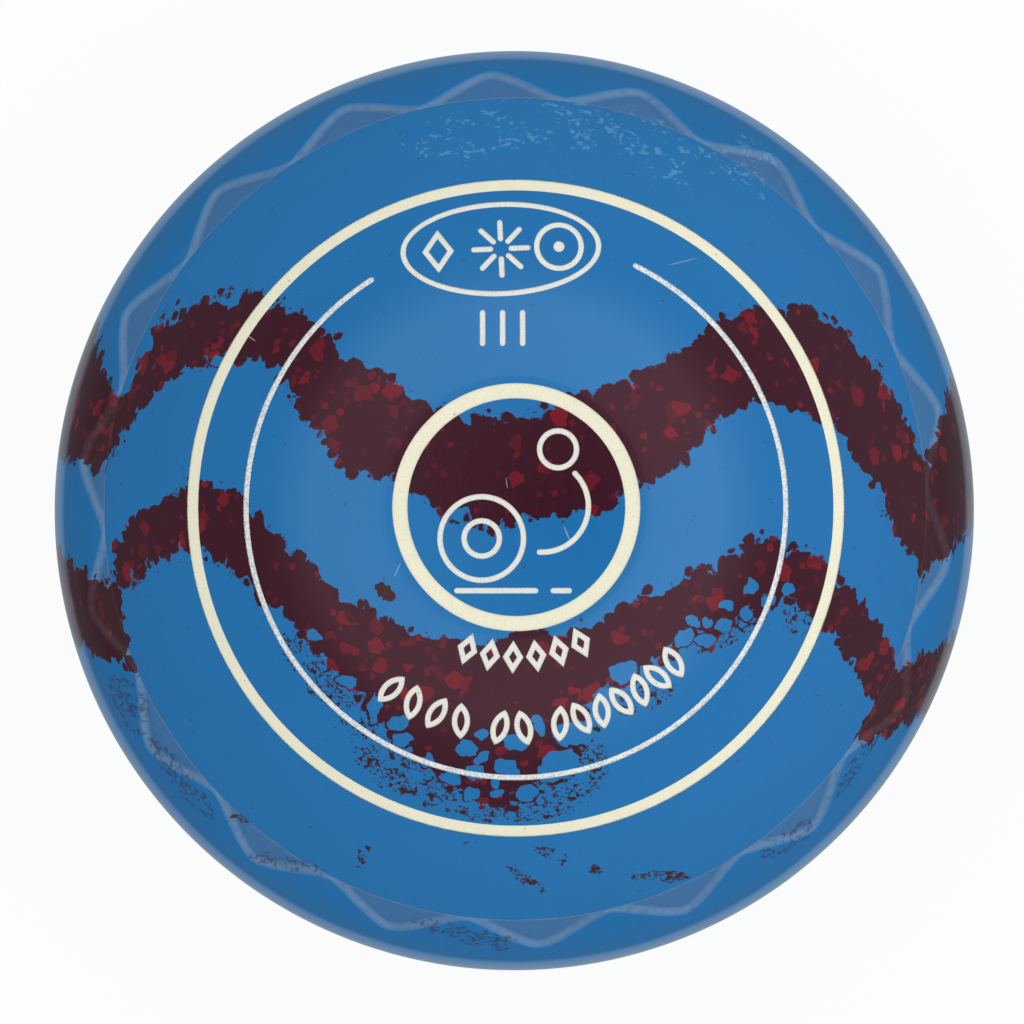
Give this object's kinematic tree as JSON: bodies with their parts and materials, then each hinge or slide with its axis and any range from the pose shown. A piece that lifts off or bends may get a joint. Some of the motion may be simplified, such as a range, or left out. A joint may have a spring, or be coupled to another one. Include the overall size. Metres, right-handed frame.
{
  "type": "lawn bowl",
  "caption": "Biased lawn bowl: slightly flattened marbled ball with a flat disc on each side, rings of scooped finger grips, and enamel-filled engraved rings and ornaments.",
  "frame": {"origin": "centre of the plain side's flat disc, which the bowl lies on: the bottom centre of its bounding box", "axes": "+Z along the axis through both discs, from the plain side up to the biased side; +Y towards the oval cartouche at the top of the engraved marks"},
  "size_m": [0.121, 0.121, 0.108],
  "materials": {
    "marbled_shell": "polished, light blue marbled with bands of dark maroon and red flakes, fine handling scratches",
    "filled_core": "plain moulded, mineral filled",
    "cream_enamel": "satin enamel fill, slightly grainy, with ragged edges",
    "white_enamel": "satin enamel fill in thin engraved lines, slightly worn"
  },
  "bodies": {
    "root": {"core": "filled_core", "bias_side_shell": "marbled_shell", "plain_side_shell": "marbled_shell", "disc_ring_enamel": "cream_enamel", "motif_bowl_enamel": "white_enamel", "motif_jack_enamel": "white_enamel", "motif_path_enamel": "white_enamel", "motif_turf_enamel": "white_enamel", "open_ring_enamel": "white_enamel", "outer_ring_enamel": "cream_enamel", "cartouche_enamel": "white_enamel", "cartouche_marks_enamel": "white_enamel", "tally_enamel": "white_enamel", "lozenge_row_enamel": "white_enamel", "leaf_row_enamel": "white_enamel", "plain_disc_ring_enamel": "cream_enamel", "plain_rosette_enamel": "white_enamel", "plain_outer_ring_enamel": "cream_enamel"}
  },
  "joints": []
}
